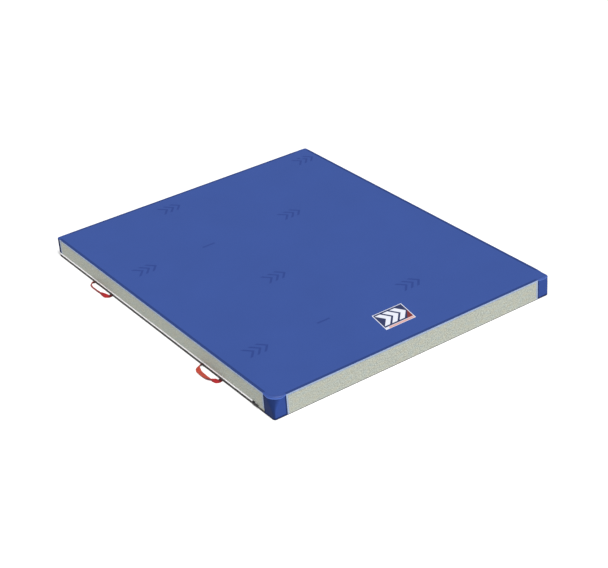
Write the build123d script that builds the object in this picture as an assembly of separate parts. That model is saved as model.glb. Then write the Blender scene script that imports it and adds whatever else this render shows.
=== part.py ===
from build123d import *
import os

# Crash landing mat. A block of foam in two layers fills a cover that opens by a zip.
# Millimetres. +Z is up, +Y is along the mat's length, and the origin is the centre of the
# face it lies on. "left" is -X, "front" is -Y. The zip starts on the left side near the
# front corner, runs to the back, and goes round the corner on to the back side.

# ---- driving dimensions ----
LENGTH = 2000.0
WIDTH = 1600.0
HEIGHT = 107.0
CORNER_RADIUS = 12.0
CLOTH = 1.0                 # thickness of the cover's coated fabric
SHEET = 1.2                 # thickness of the top and base sheets

# Heights of the bands up a side wall
LIP_TOP = 3.0               # the base sheet's turned-up edge
STRIP_TOP = 13.0            # the base sheet's higher strip under the zip
ZIP_SLOT_TOP = 24.0         # the mesh panel's lower edge above the zip
ZIP_MIDDLE = 18.5
BINDING = 9.0               # width of the binding round a mesh panel
BINDING_PROUD = 0.6         # how far a binding stands out of the wall

# Corner patches, measured from the square corner
PATCH_X = 70.0              # along the front or the back side
PATCH_Y = 75.0              # along a long side, at the front
BACK_PATCH_Y = 30.0         # along a long side, at the back

# Zip
TAPE = 0.8                  # tape thickness
TAPE_HEIGHT = 12.0          # each tape's height, part of it hidden behind the cover
COIL_PROUD = 0.6            # how far the coil stands out of the wall
COIL_HEIGHT = 2.5           # height of one row of coil
ZIP_GAP = 0.8               # from the zip's middle to a row of coil
TAPE_GAP = 1.0              # from the zip's middle to a tape
ZIP_START = 60.0            # from the corner patch to the first coil
STOP_LENGTH = 3.0

# Slider and its pull. Distances "out" are measured from the wall's outer face.
SLIDER_Y = -845.0           # the slider's middle when the zip is closed
SLIDER_LENGTH = 24.0
SLIDER_HEIGHT = 10.0
WING = 1.4                  # thickness of the slider's two wings
CLEAR = 0.3                 # running clearance
LUG_SPAN = 5.2
LUG_WIDTH = 3.0
LUG_WALL = 1.2
BAR_RADIUS = 0.8
BAR_ROOM = 0.4              # clearance round the pull's bar
PULL_LENGTH = 38.0
PULL_WIDTH = 8.0
PULL_HOLE_WIDTH = 4.0
PULL_HOLE_END = 4.6
PULL_GRIP_INSET = 7.0
PULL_GRIP_RADIUS = 2.0

# Webbing loops
WEBBING = 25.0
WEBBING_THICK = 2.5
LOOP_SPAN = 180.0           # between the outer edges of a loop's two ends
LOOP_REACH = 58.0           # from the wall to the loop's outer edge
LOOP_CORNER = 34.0          # outer radius where the loop turns
LOOP_SPACING = 1017.0       # between the two loops of a side
LOOP_MIDDLE = 14.5          # how far back the middle of the two loops is
HINGE_OUT = 3.0             # a loop swings on its end fold, this far out from the wall
HINGE_Z = 1.9
ANCHOR_LENGTH = 34.0
ANCHOR_THICK = 1.2

# Badge in the top sheet
BADGE_X = 174.0
BADGE_Y = 142.0
BADGE_LEAN = 25.0           # how far its back edge is shifted to the right of its front edge
BADGE_CENTRE = (13.0, -805.0)
BADGE_THICK = 0.4
BADGE_RADIUS = 4.0

# Foam
FOAM_GAP = 4.0              # from the wall's outer face to the foam
FIRM_LAYER = 20.0


def plate(low, high, out=0.0):
    """A slab over the whole footprint, grown outwards by out, between two heights."""
    outline = RectangleRounded(WIDTH + 2 * out, LENGTH + 2 * out, CORNER_RADIUS + out)
    return Pos(0, 0, low) * extrude(outline, high - low)


def ring(low, high, inner, outer):
    """A closed band round the mat, between two distances out from the wall's outer face."""
    return plate(low, high, outer) - plate(low - 1, high + 1, inner)


def block(x_range, y_range, z_range):
    """A box between two corners."""
    low = [min(pair) for pair in (x_range, y_range, z_range)]
    high = [max(pair) for pair in (x_range, y_range, z_range)]
    size = [b - a for a, b in zip(low, high)]
    middle = [(a + b) / 2 for a, b in zip(low, high)]
    return Pos(*middle) * Box(*size)


def side_zone(side, back_off=0.0):
    """The space beside one side of the mat, between its corner patches, less back_off at each end."""
    half_x = WIDTH / 2 - PATCH_X - back_off
    front_y = -LENGTH / 2 + PATCH_Y + back_off
    back_y = LENGTH / 2 - BACK_PATCH_Y - back_off
    deep = 25.0
    tall = (-HEIGHT, 2 * HEIGHT)
    if side in ("left", "right"):
        sign = -1 if side == "left" else 1
        x_range = (sign * (WIDTH / 2 - deep), sign * (WIDTH / 2 + deep))
        return block(x_range, (front_y, back_y), tall)
    sign = -1 if side == "front" else 1
    y_range = (sign * (LENGTH / 2 - deep), sign * (LENGTH / 2 + deep))
    return block((-half_x, half_x), y_range, tall)


def corner_zone(end, side):
    """The space round one vertical corner, as far as its patch reaches."""
    y_sign = -1 if end == "front" else 1
    x_sign = -1 if side == "left" else 1
    reach = PATCH_Y if end == "front" else BACK_PATCH_Y
    x_range = (x_sign * (WIDTH / 2 - PATCH_X), x_sign * WIDTH)
    y_range = (y_sign * (LENGTH / 2 - reach), y_sign * LENGTH)
    return block(x_range, y_range, (-HEIGHT, 2 * HEIGHT))


def zip_zone(front_off=0.0, back_off=0.0):
    """The space that the zip runs in: the left side, the back left corner and the back side."""
    front_y = -LENGTH / 2 + PATCH_Y + front_off
    end_x = WIDTH / 2 - PATCH_X - back_off
    tall = (-HEIGHT, 2 * HEIGHT)
    deep = 60.0
    along_left = block((-WIDTH, -WIDTH / 2 + deep), (front_y, LENGTH), tall)
    along_back = block((-WIDTH, end_x), (LENGTH / 2 - deep, LENGTH), tall)
    return along_left + along_back


def make_base_sheet():
    """The black underside, with its edge turned up, higher where the zip is sewn to it."""
    lip = ring(0, LIP_TOP, -CLOTH, 0)
    strip = ring(LIP_TOP, STRIP_TOP, -CLOTH, 0) & zip_zone()
    return plate(0, SHEET) + lip + strip


def panel_bottom(side):
    """The height of a mesh panel's lower edge, above the zip or on the lip."""
    return ZIP_SLOT_TOP if side in ("left", "back") else LIP_TOP


def make_side_panel(side):
    """A mesh wall between its bindings."""
    top = HEIGHT - SHEET - BINDING
    return ring(panel_bottom(side), top, -CLOTH, 0) & side_zone(side, BINDING)


def make_binding(side):
    """The narrow edging along a mesh panel's top and down its two ends."""
    full = ring(panel_bottom(side), HEIGHT - SHEET, -CLOTH, BINDING_PROUD) & side_zone(side)
    window = block((-WIDTH, WIDTH), (-LENGTH, LENGTH), (0, HEIGHT - SHEET - BINDING))
    return full - (window & side_zone(side, BINDING))


def make_corner_patch(end, side):
    """A patch wrapped round a vertical corner. The zip passes below the back left one."""
    low = ZIP_SLOT_TOP if (end, side) == ("back", "left") else LIP_TOP
    return ring(low, HEIGHT - SHEET, -CLOTH, 0) & corner_zone(end, side)


def make_zip_tape(sign):
    """The upper (+1) or lower (-1) tape, sewn behind the edge of the cover."""
    near = ZIP_MIDDLE + sign * TAPE_GAP
    far = near + sign * TAPE_HEIGHT
    band = ring(min(near, far), max(near, far), -CLOTH - TAPE, -CLOTH)
    return band & zip_zone(ZIP_START, ZIP_START)


def make_zip_coil(sign):
    """The upper (+1) or lower (-1) row of coil, on its tape's outer face."""
    near = ZIP_MIDDLE + sign * ZIP_GAP
    far = near + sign * COIL_HEIGHT
    band = ring(min(near, far), max(near, far), -CLOTH, COIL_PROUD)
    return band & zip_zone(ZIP_START + STOP_LENGTH, ZIP_START + STOP_LENGTH)


def make_zip_stops():
    """The two stops that close the zip's ends."""
    reach = ZIP_GAP + COIL_HEIGHT + 0.6
    band = ring(ZIP_MIDDLE - reach, ZIP_MIDDLE + reach, -CLOTH, COIL_PROUD)
    start = ZIP_START
    end = ZIP_START + STOP_LENGTH
    return band & (zip_zone(start, start) - zip_zone(end, end))


def make_zip_end_cover(end):
    """The piece sewn over one end of the zip, beside the corner patch."""
    band = ring(STRIP_TOP, ZIP_SLOT_TOP, -CLOTH, 0)
    if end == "front":
        return band & (zip_zone(0, 0) - zip_zone(ZIP_START, 0))
    return band & (zip_zone(0, 0) - zip_zone(0, ZIP_START))


def out_range(near, far):
    """The X range between two distances out from the left wall."""
    return (-WIDTH / 2 - near, -WIDTH / 2 - far)


def make_zip_slider():
    """Two wings joined by a thin bridge between the rows of coil, with a lug for the pull."""
    half = SLIDER_LENGTH / 2
    y_range = (SLIDER_Y - half, SLIDER_Y + half)
    z_range = (ZIP_MIDDLE - SLIDER_HEIGHT / 2, ZIP_MIDDLE + SLIDER_HEIGHT / 2)
    wing_out = COIL_PROUD + CLEAR
    inner_out = -CLOTH - TAPE - CLEAR
    outer = block(out_range(wing_out, wing_out + WING), y_range, z_range)
    outer = fillet(outer.edges().filter_by(Axis.X), SLIDER_HEIGHT * 0.35)
    inner = block(out_range(inner_out - WING, inner_out), y_range, z_range)
    inner = fillet(inner.edges().filter_by(Axis.X), SLIDER_HEIGHT * 0.35)
    bridge_half = ZIP_GAP - CLEAR
    bridge = block(
        out_range(inner_out - WING / 2, wing_out + WING / 2),
        (SLIDER_Y - 3, SLIDER_Y + 3),
        (ZIP_MIDDLE - bridge_half, ZIP_MIDDLE + bridge_half),
    )
    slider = outer + inner + bridge
    flange_inner = ZIP_GAP + COIL_HEIGHT + CLEAR
    for sign in (-1, 1):
        flange = block(
            out_range(wing_out - WING, wing_out + WING / 2),
            (SLIDER_Y - half + 4, SLIDER_Y + half - 4),
            (ZIP_MIDDLE + sign * flange_inner, ZIP_MIDDLE + sign * SLIDER_HEIGHT / 2),
        )
        slider += flange
    return slider + make_lug(wing_out + WING)


def bar_out():
    """How far out from the wall the pull's bar is."""
    return COIL_PROUD + CLEAR + WING + BAR_ROOM + BAR_RADIUS


def make_lug(face_out):
    """The arch on the slider's face that holds the pull's bar."""
    room = 2 * (BAR_ROOM + BAR_RADIUS)
    y_range = (SLIDER_Y - LUG_SPAN / 2, SLIDER_Y + LUG_SPAN / 2)
    z_range = (ZIP_MIDDLE - LUG_WIDTH / 2, ZIP_MIDDLE + LUG_WIDTH / 2)
    solid = block(out_range(face_out - WING / 2, face_out + room + LUG_WALL), y_range, z_range)
    top_edges = solid.edges().filter_by(Axis.Z).sort_by(Axis.X)[:2]
    solid = fillet(top_edges, 1.0)
    half = LUG_SPAN / 2 - LUG_WALL - 0.2
    eye = block(
        out_range(face_out, face_out + room),
        (SLIDER_Y - half, SLIDER_Y + half),
        (0, HEIGHT),
    )
    return solid - eye


def make_zip_pull():
    """A flat tab with a bar at one end that turns in the slider's lug. It lies towards the front."""
    centre = Pos(-WIDTH / 2 - bar_out(), SLIDER_Y, ZIP_MIDDLE)
    bar = Cylinder(BAR_RADIUS, PULL_WIDTH)
    thick = 2 * BAR_RADIUS
    tab = Pos(0, -PULL_LENGTH / 2, 0) * Box(thick, PULL_LENGTH, PULL_WIDTH)
    far_edges = tab.edges().filter_by(Axis.X).sort_by(Axis.Y)[:2]
    tab = fillet(far_edges, PULL_WIDTH * 0.45)
    hole = Pos(0, -PULL_HOLE_END / 2, 0) * Box(thick * 2, PULL_HOLE_END, PULL_HOLE_WIDTH)
    grip_y = PULL_GRIP_INSET - PULL_LENGTH
    grip = Pos(0, grip_y, 0) * Rot(0, 90, 0) * Cylinder(PULL_GRIP_RADIUS, thick * 2)
    return centre * (tab - hole - grip + bar)


def loop_centres():
    """The Y of the front and the back loop of a side."""
    return {
        "front": LOOP_MIDDLE - LOOP_SPACING / 2,
        "back": LOOP_MIDDLE + LOOP_SPACING / 2,
    }


def make_loop(side, y_centre):
    """A webbing loop that lies out on the floor, open in the middle for the fingers."""
    fold_edge = HINGE_OUT - WEBBING_THICK / 2
    start = WIDTH / 2 + fold_edge
    reach = LOOP_REACH - fold_edge
    half = LOOP_SPAN / 2
    outer = Pos(start + reach / 2, 0) * Rectangle(reach, LOOP_SPAN)
    outer = fillet(outer.vertices().sort_by(Axis.X)[2:], LOOP_CORNER)
    inner_reach = reach - WEBBING
    opening = Pos(start + inner_reach / 2, 0) * Rectangle(inner_reach, 2 * (half - WEBBING))
    opening = fillet(opening.vertices().sort_by(Axis.X)[2:], LOOP_CORNER - WEBBING)
    band = extrude(outer - opening, WEBBING_THICK)
    band = Pos(0, y_centre, HINGE_Z - WEBBING_THICK / 2) * band
    return band if side == "right" else mirror(band, Plane.YZ)


def make_anchor(side, y_centre):
    """The two patches, sewn to the foot of the wall, that hold a loop's ends."""
    sign = -1 if side == "left" else 1
    x_range = (sign * WIDTH / 2, sign * (WIDTH / 2 + ANCHOR_THICK))
    patches = None
    for end in (-1, 1):
        middle = y_centre + end * (LOOP_SPAN - WEBBING) / 2
        y_range = (middle - ANCHOR_LENGTH / 2, middle + ANCHOR_LENGTH / 2)
        patch = block(x_range, y_range, (0.4, STRIP_TOP - 0.8))
        patch = fillet(patch.edges().filter_by(Axis.X), 2.0)
        patches = patch if patches is None else patches + patch
    return patches


def make_badge():
    """A thin leaning patch welded into the top sheet, flush with it."""
    corners = []
    for x_sign, y_sign in ((-1, -1), (1, -1), (1, 1), (-1, 1)):
        corners.append(((x_sign * BADGE_X + y_sign * BADGE_LEAN) / 2, y_sign * BADGE_Y / 2))
    outline = Polygon(*corners, align=None)
    outline = fillet(outline.vertices(), BADGE_RADIUS)
    return Pos(*BADGE_CENTRE, HEIGHT - BADGE_THICK) * extrude(outline, BADGE_THICK)


def make_top_sheet():
    """The blue landing surface."""
    return plate(HEIGHT - SHEET, HEIGHT) - make_badge()


def make_foam(low, high):
    """A layer of foam, clear of the walls and of the zip's slider."""
    return plate(low, high, -FOAM_GAP)


def make_all():
    """Every node of the mat by its name."""
    foam_split = HEIGHT - SHEET - FIRM_LAYER
    nodes = {
        "top_sheet": make_top_sheet(),
        "top_badge": make_badge(),
        "base_sheet": make_base_sheet(),
        "foam_core": make_foam(SHEET, foam_split),
        "foam_top_layer": make_foam(foam_split, HEIGHT - SHEET),
        "zip_tape_upper": make_zip_tape(1),
        "zip_tape_lower": make_zip_tape(-1),
        "zip_coil_upper": make_zip_coil(1),
        "zip_coil_lower": make_zip_coil(-1),
        "zip_stops": make_zip_stops(),
        "zip_end_cover_front": make_zip_end_cover("front"),
        "zip_end_cover_back": make_zip_end_cover("back"),
        "zip_slider": make_zip_slider(),
        "zip_pull": make_zip_pull(),
    }
    for side in ("left", "right", "front", "back"):
        nodes[f"side_panel_{side}"] = make_side_panel(side)
        nodes[f"panel_binding_{side}"] = make_binding(side)
    for end in ("front", "back"):
        for side in ("left", "right"):
            nodes[f"corner_patch_{end}_{side}"] = make_corner_patch(end, side)
            y_centre = loop_centres()[end]
            nodes[f"handle_{side}_{end}"] = make_loop(side, y_centre)
            nodes[f"handle_anchor_{side}_{end}"] = make_anchor(side, y_centre)
    return nodes


os.makedirs("parts", exist_ok=True)
for name, shape in make_all().items():
    export_step(shape, f"parts/{name}.step")
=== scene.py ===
import math

import bpy
import numpy as np
from mathutils import Matrix, Vector, noise


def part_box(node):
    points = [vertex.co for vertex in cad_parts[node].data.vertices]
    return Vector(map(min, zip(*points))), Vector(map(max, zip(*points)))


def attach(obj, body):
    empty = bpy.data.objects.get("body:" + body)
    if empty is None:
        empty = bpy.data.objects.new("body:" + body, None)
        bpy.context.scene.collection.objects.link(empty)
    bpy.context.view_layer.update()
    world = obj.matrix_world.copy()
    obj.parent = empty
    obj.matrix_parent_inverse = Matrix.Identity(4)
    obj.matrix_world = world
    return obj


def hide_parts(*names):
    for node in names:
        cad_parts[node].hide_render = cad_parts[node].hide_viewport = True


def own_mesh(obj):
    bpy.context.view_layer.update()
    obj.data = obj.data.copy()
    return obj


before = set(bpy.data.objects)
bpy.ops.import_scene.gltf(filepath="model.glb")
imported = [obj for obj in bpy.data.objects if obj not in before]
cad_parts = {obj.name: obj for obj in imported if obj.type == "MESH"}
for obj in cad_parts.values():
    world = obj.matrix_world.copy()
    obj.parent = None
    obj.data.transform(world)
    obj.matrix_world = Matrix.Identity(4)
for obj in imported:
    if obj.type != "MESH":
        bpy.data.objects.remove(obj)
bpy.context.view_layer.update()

# Looks of a crash landing mat: a foam block in a sewn cover. Metres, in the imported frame:
# +Z up, +Y along the mat, "left" is -X and "front" is -Y.
MM = 0.001

# ---- sizes taken from the frame ----
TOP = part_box("top_sheet")[1].z
HALF_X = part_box("top_sheet")[1].x
HALF_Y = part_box("top_sheet")[1].y
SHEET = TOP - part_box("top_sheet")[0].z
LIP_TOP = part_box("side_panel_front")[0].z
STRIP_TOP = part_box("zip_end_cover_front")[0].z
SLOT_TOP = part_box("zip_end_cover_front")[1].z
ZIP_MIDDLE = (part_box("zip_tape_lower")[1].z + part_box("zip_tape_upper")[0].z) / 2

# ---- sizes of the looks ----
CORNER_RADIUS = 12 * MM
SOFT_RADIUS = 60 * MM         # the front left corner's radius at the top, where its foam has given way
SOFT_FROM = 0.3               # and the share of the mat's height where that softening starts
CLOTH = 1.0 * MM
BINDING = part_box("panel_binding_front")[1].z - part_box("side_panel_front")[1].z
PROUD = 0.6 * MM              # how far bindings and coil stand out of the wall
WEBBING = 25 * MM
WEBBING_THICK = 2.2 * MM

# ---- camera and light ----
CAMERA_AZIMUTH = 33.25        # degrees from +Y towards +X
CAMERA_ELEVATION = 29.66
CAMERA_ROLL = -4.516
CAMERA_TARGET = (-0.1134, -0.2669, 0.1)
CAMERA_DISTANCE = 7.241
CAMERA_LENS = 88.70
WORLD_LIGHT = 0.20
KEY_LIGHT = 3.9               # a pale floor under key and world together comes out white
KEY_FROM = (-16, 62)          # degrees from the front towards the right, and above the floor
KEY_SPREAD = 28               # how wide the key light looks from the mat, in degrees
FLOOR_REACH = 60.0


# The wall: a distance s along it runs clockwise, seen from above, from
# where the left side starts at the front; "out" is away from the mat.

LONG = 2 * (HALF_Y - CORNER_RADIUS)
SHORT = 2 * (HALF_X - CORNER_RADIUS)
ARC = math.pi / 2 * CORNER_RADIUS
IN_X = HALF_X - CORNER_RADIUS
IN_Y = HALF_Y - CORNER_RADIUS
LEGS = [
    ("left", LONG, (-HALF_X, -IN_Y), (0, 1), (-1, 0)),
    ("back_left", ARC, (-IN_X, IN_Y), None, math.pi),
    ("back", SHORT, (-IN_X, HALF_Y), (1, 0), (0, 1)),
    ("back_right", ARC, (IN_X, IN_Y), None, math.pi / 2),
    ("right", LONG, (HALF_X, IN_Y), (0, -1), (1, 0)),
    ("front_right", ARC, (IN_X, -IN_Y), None, 0.0),
    ("front", SHORT, (IN_X, -HALF_Y), (-1, 0), (0, -1)),
    ("front_left", ARC, (-IN_X, -IN_Y), None, -math.pi / 2),
]
SIDES = ("left", "right", "front", "back")
LEG_START = {}
_along = 0.0
for _leg in LEGS:
    LEG_START[_leg[0]] = _along
    _along += _leg[1]
ROUND_TRIP = _along


def wall_point(s, out, z):
    """The point at a distance along the wall, out from it, and a height."""
    rest = s % ROUND_TRIP
    for _, length, origin, direction, facing in LEGS:
        if rest <= length:
            break
        rest -= length
    if direction is not None:
        x = origin[0] + direction[0] * rest + facing[0] * out
        y = origin[1] + direction[1] * rest + facing[1] * out
    else:
        angle = facing - rest / CORNER_RADIUS
        radius = CORNER_RADIUS + out
        x = origin[0] + radius * math.cos(angle)
        y = origin[1] + radius * math.sin(angle)
    return (*softened(x, y, z, out), z)


def smooth_step(value, low, high):
    """0 below low and 1 above high, with a smooth rise between."""
    t = min(max((value - low) / (high - low), 0.0), 1.0)
    return t * t * (3 - 2 * t)


def soft_radius(z):
    """The front left corner's radius at a height: sharp at its foot and soft at the top."""
    return CORNER_RADIUS + (SOFT_RADIUS - CORNER_RADIUS) * smooth_step(z / TOP, SOFT_FROM, 1.0)


def softened(x, y, z, out):
    """A point at the front left corner, pulled in to the radius that the corner has at its height."""
    radius = soft_radius(z)
    u, v = -x - (HALF_X - radius), -y - (HALF_Y - radius)
    far = math.hypot(u, v)
    if u <= 0 or v <= 0 or far <= radius + out:
        return (x, y)
    pull = (radius + out) / far
    return (radius - HALF_X - u * pull, radius - HALF_Y - v * pull)


def s_at(side, x, y):
    """The distance along the wall of a point on one straight side."""
    travel = {
        "left": y + IN_Y,
        "back": x + IN_X,
        "right": IN_Y - y,
        "front": IN_X - x,
    }
    return LEG_START[side] + travel[side]


def stations(start, end, step, arc_step=3 * MM):
    """Distances from start to end, closer together round the corners."""
    cuts = {start, end}
    for lap in (-ROUND_TRIP, 0.0, ROUND_TRIP):
        for name, length, _, direction, _ in LEGS:
            low = LEG_START[name] + lap
            if direction is None:
                count = max(2, round(length / arc_step))
                cuts.update(low + length * i / count for i in range(count + 1))
            else:
                cuts.update((low, low + length))
    inside = sorted(c for c in cuts if start <= c <= end)
    places = [start]
    for a, b in zip(inside, inside[1:]):
        if b - a < 1e-7:
            continue
        count = max(1, math.ceil((b - a) / step - 1e-6))
        places.extend(a + (b - a) * i / count for i in range(1, count + 1))
    return places


def span_of(node, side):
    """Where a node on one straight side starts and ends along the wall, and its heights."""
    low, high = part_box(node)
    ends = sorted((s_at(side, low.x, low.y), s_at(side, high.x, high.y)))
    return ends[0], ends[1], low.z, high.z


# ---- Mesh making ----

def new_object(name, points, faces, material, slot, body="mat", smooth_angle=35.0):
    """A mesh object with its material, riding on a body."""
    mesh = bpy.data.meshes.new(name)
    mesh.from_pydata([tuple(p) for p in points], [], [tuple(f) for f in faces])
    mesh.validate()
    mesh.materials.append(material)
    mesh.shade_smooth()
    mesh.set_sharp_from_angle(angle=math.radians(smooth_angle))
    mesh.update()
    piece = bpy.data.objects.new(name, mesh)
    bpy.context.scene.collection.objects.link(piece)
    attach(piece, body)
    return piece


class Parts:
    """Points and faces gathered from several shapes into one mesh."""

    def __init__(self):
        self.points = []
        self.faces = []

    def add(self, points, faces):
        base = len(self.points)
        self.points.extend(points)
        self.faces.extend([tuple(base + i for i in face) for face in faces])

    def piece(self, name, material, slot, **options):
        return new_object(name, self.points, self.faces, material, slot, **options)


def closed_sheet(upper, lower):
    """A closed sheet between two grids of points, each a list of rows."""
    rows, columns = len(upper), len(upper[0])
    points = [p for row in upper for p in row] + [p for row in lower for p in row]
    half = rows * columns
    faces = []
    for i in range(rows - 1):
        for j in range(columns - 1):
            a = i * columns + j
            quad = (a, a + 1, a + columns + 1, a + columns)
            faces.append(quad)
            faces.append(tuple(half + k for k in reversed(quad)))
    rim = list(range(columns))
    rim += [i * columns + columns - 1 for i in range(1, rows)]
    rim += [(rows - 1) * columns + j for j in range(columns - 2, -1, -1)]
    rim += [i * columns for i in range(rows - 2, 0, -1)]
    for a, b in zip(rim, rim[1:] + rim[:1]):
        faces.append((b, a, half + a, half + b))
    return points, faces


def tube_faces(rings, around, closed=False):
    """Faces of a skin over rings of points, capped at its ends unless it is closed."""
    faces = []
    last = rings if closed else rings - 1
    for i in range(last):
        a, b = i * around, ((i + 1) % rings) * around
        for j in range(around):
            k = (j + 1) % around
            faces.append((a + j, a + k, b + k, b + j))
    if not closed:
        faces.append(tuple(reversed(range(around))))
        faces.append(tuple(range((rings - 1) * around, rings * around)))
    return faces


def wall_ribbon(path, profile, step=30 * MM, closed=False):
    """A profile swept along a path on the wall, mitred where the path turns.

    The path is (s, z) corners, and the profile (across, out) points."""
    stops = []
    directions = []
    for (s0, z0), (s1, z1) in zip(path, path[1:]):
        length = math.hypot(s1 - s0, z1 - z0)
        directions.append(((s1 - s0) / length, (z1 - z0) / length))
    for i, ((s0, z0), (s1, z1)) in enumerate(zip(path, path[1:])):
        ds, dz = directions[i]
        across = (-dz, ds)
        before = directions[i - 1] if i > 0 else directions[i]
        turned = (-before[1], before[0])
        share = 1 + across[0] * turned[0] + across[1] * turned[1]
        mitre = ((across[0] + turned[0]) / share, (across[1] + turned[1]) / share)
        stops.append((s0, z0, mitre))
        if abs(s1 - s0) > abs(z1 - z0):
            low, high = min(s0, s1), max(s0, s1)
            middle = [s for s in stations(low, high, step) if low < s < high]
            if s1 < s0:
                middle.reverse()
            stops.extend((s, z0 + (z1 - z0) * (s - s0) / (s1 - s0), across) for s in middle)
        else:
            count = max(1, round(abs(z1 - z0) / step))
            stops.extend((s0, z0 + (z1 - z0) * k / count, across) for k in range(1, count))
        if i == len(path) - 2 and not closed:
            stops.append((s1, z1, across))
    points = []
    for s, z, across in stops:
        points.extend(wall_point(s + a * across[0], out, z + a * across[1]) for a, out in profile)
    return points, tube_faces(len(stops), len(profile), closed)


def rounded_bar(width, low_out, high_out, radius, segments=3):
    """A profile with a flat back and two rounded outer edges."""
    half = width / 2
    points = [(-half, low_out)]
    for sign, first in ((-1, math.pi), (1, math.pi / 2)):
        centre = sign * (half - radius)
        for i in range(segments + 1):
            turn = first - math.pi / 2 * i / segments
            points.append((centre + radius * math.cos(turn), high_out - radius + radius * math.sin(turn)))
    points.append((half, low_out))
    return points


def top_radius(x, y):
    """The radius of the nearest corner of the top."""
    return SOFT_RADIUS if x < 0 and y < 0 else CORNER_RADIUS


def edge_distance(x, y, radius_at=top_radius):
    """How far a point of the footprint is from its rounded outline."""
    radius = radius_at(x, y)
    qx, qy = abs(x) - (HALF_X - radius), abs(y) - (HALF_Y - radius)
    outside = math.hypot(max(qx, 0), max(qy, 0))
    return radius - outside - min(max(qx, qy), 0.0)


def grid_lines(half, fine, step):
    """Coordinates from -half to half: fine distances from each edge, then even steps."""
    inner = half - fine[-1]
    count = math.ceil(2 * inner / step)
    middle = [-inner + 2 * inner * i / count for i in range(1, count)]
    near = [-half + d for d in fine]
    return near + middle + [-v for v in reversed(near)]


def footprint_grid(fine, step, out=0.0, radius_at=top_radius):
    """Rows of (x, y) over the footprint, its square corners pressed round."""
    xs = grid_lines(HALF_X, fine, step)
    ys = grid_lines(HALF_Y, fine, step)
    rows = []
    for y in ys:
        row = []
        for x in xs:
            radius = radius_at(x, y)
            in_x, in_y = HALF_X - radius, HALF_Y - radius
            u = max(abs(x) - in_x, 0) / radius
            v = max(abs(y) - in_y, 0) / radius
            px, py = abs(x), abs(y)
            if u > 0 and v > 0:
                px = in_x + radius * u * math.sqrt(1 - v * v / 2)
                py = in_y + radius * v * math.sqrt(1 - u * u / 2)
            px = math.copysign(px * (HALF_X + out) / HALF_X, x)
            py = math.copysign(py * (HALF_Y + out) / HALF_Y, y)
            row.append((px, py))
        rows.append(row)
    return rows


def ripple(x, y, z, size):
    """Smooth noise from -1 to 1 with bumps about size across."""
    return noise.noise(Vector((x / size, y / size, z / size)))


# ---- Materials ----

def shader(name, roughness, **sockets):
    """A material with a Principled shader, its constants on the shader's own sockets."""
    material = bpy.data.materials.new(name)
    material.use_nodes = True
    tree = material.node_tree
    bsdf = next(n for n in tree.nodes if n.type == "BSDF_PRINCIPLED")
    bsdf.inputs["Roughness"].default_value = roughness
    for socket, value in sockets.items():
        bsdf.inputs[socket.replace("_", " ")].default_value = value
    return material, tree, bsdf


def add(tree, kind, inputs=None, **settings):
    """A node with its settings and inputs; an input may be a value or another node's output."""
    node = tree.nodes.new(kind)
    for key, value in settings.items():
        setattr(node, key, value)
    for key, value in (inputs or {}).items():
        if isinstance(value, bpy.types.NodeSocket):
            tree.links.new(value, node.inputs[key])
        else:
            node.inputs[key].default_value = value
    return node


def place(tree, scale=(1, 1, 1), source="Object"):
    """The surface's own coordinates, in metres, stretched by scale."""
    coordinates = add(tree, "ShaderNodeTexCoord").outputs[source]
    return add(tree, "ShaderNodeMapping", {"Vector": coordinates, "Scale": scale}).outputs["Vector"]


def noise_of(tree, vector, scale, detail):
    inputs = {"Vector": vector, "Scale": scale, "Detail": detail}
    return add(tree, "ShaderNodeTexNoise", inputs).outputs["Fac"]


def cells_of(tree, vector, scale, randomness=1.0):
    inputs = {"Vector": vector, "Scale": scale, "Randomness": randomness}
    return add(tree, "ShaderNodeTexVoronoi", inputs).outputs["Distance"]


def bands_of(tree, vector, scale, distortion, axis):
    inputs = {"Vector": vector, "Scale": scale, "Distortion": distortion}
    return add(tree, "ShaderNodeTexWave", inputs, wave_type="BANDS", bands_direction=axis).outputs["Fac"]


def axis_of(tree, vector, axis):
    return add(tree, "ShaderNodeSeparateXYZ", {"Vector": vector}).outputs[axis]


def maths(tree, operation, first, second=0.0):
    return add(tree, "ShaderNodeMath", {0: first, 1: second}, operation=operation).outputs[0]


def ramp(tree, value, *stops):
    """Colours along a 0 to 1 value: stops are (place, colour), and one number stands for a grey."""
    node = add(tree, "ShaderNodeValToRGB", {"Fac": value})
    elements = node.color_ramp.elements
    while len(elements) < len(stops):
        elements.new(0.5)
    for element, (where, colour) in zip(elements, stops):
        element.position = where
        element.color = (*(colour if isinstance(colour, tuple) else (colour,) * 3), 1.0)
    return node.outputs["Color"]


def blend_colours(tree, share, first, second, kind="MIX"):
    node = add(tree, "ShaderNodeMix", data_type="RGBA", blend_type=kind)
    colours = [s for s in node.inputs if s.type == "RGBA"]
    share_socket = next(s for s in node.inputs if s.type == "VALUE" and s.enabled)
    for socket, value in ((share_socket, share), (colours[0], first), (colours[1], second)):
        if isinstance(value, bpy.types.NodeSocket):
            tree.links.new(value, socket)
        else:
            socket.default_value = value if isinstance(value, (int, float)) else (*value, 1.0)
    return next(o for o in node.outputs if o.type == "RGBA")


def multiplied(tree, colour, shade):
    return blend_colours(tree, 1.0, colour, shade, "MULTIPLY")


def painted(tree, bsdf, colour):
    tree.links.new(colour, bsdf.inputs["Base Color"])


def roughened(tree, bsdf, value, low, high):
    """Roughness from low to high as a value goes from 0 to 1."""
    inputs = {"Value": value, "To Min": low, "To Max": high}
    tree.links.new(add(tree, "ShaderNodeMapRange", inputs).outputs["Result"], bsdf.inputs["Roughness"])


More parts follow.
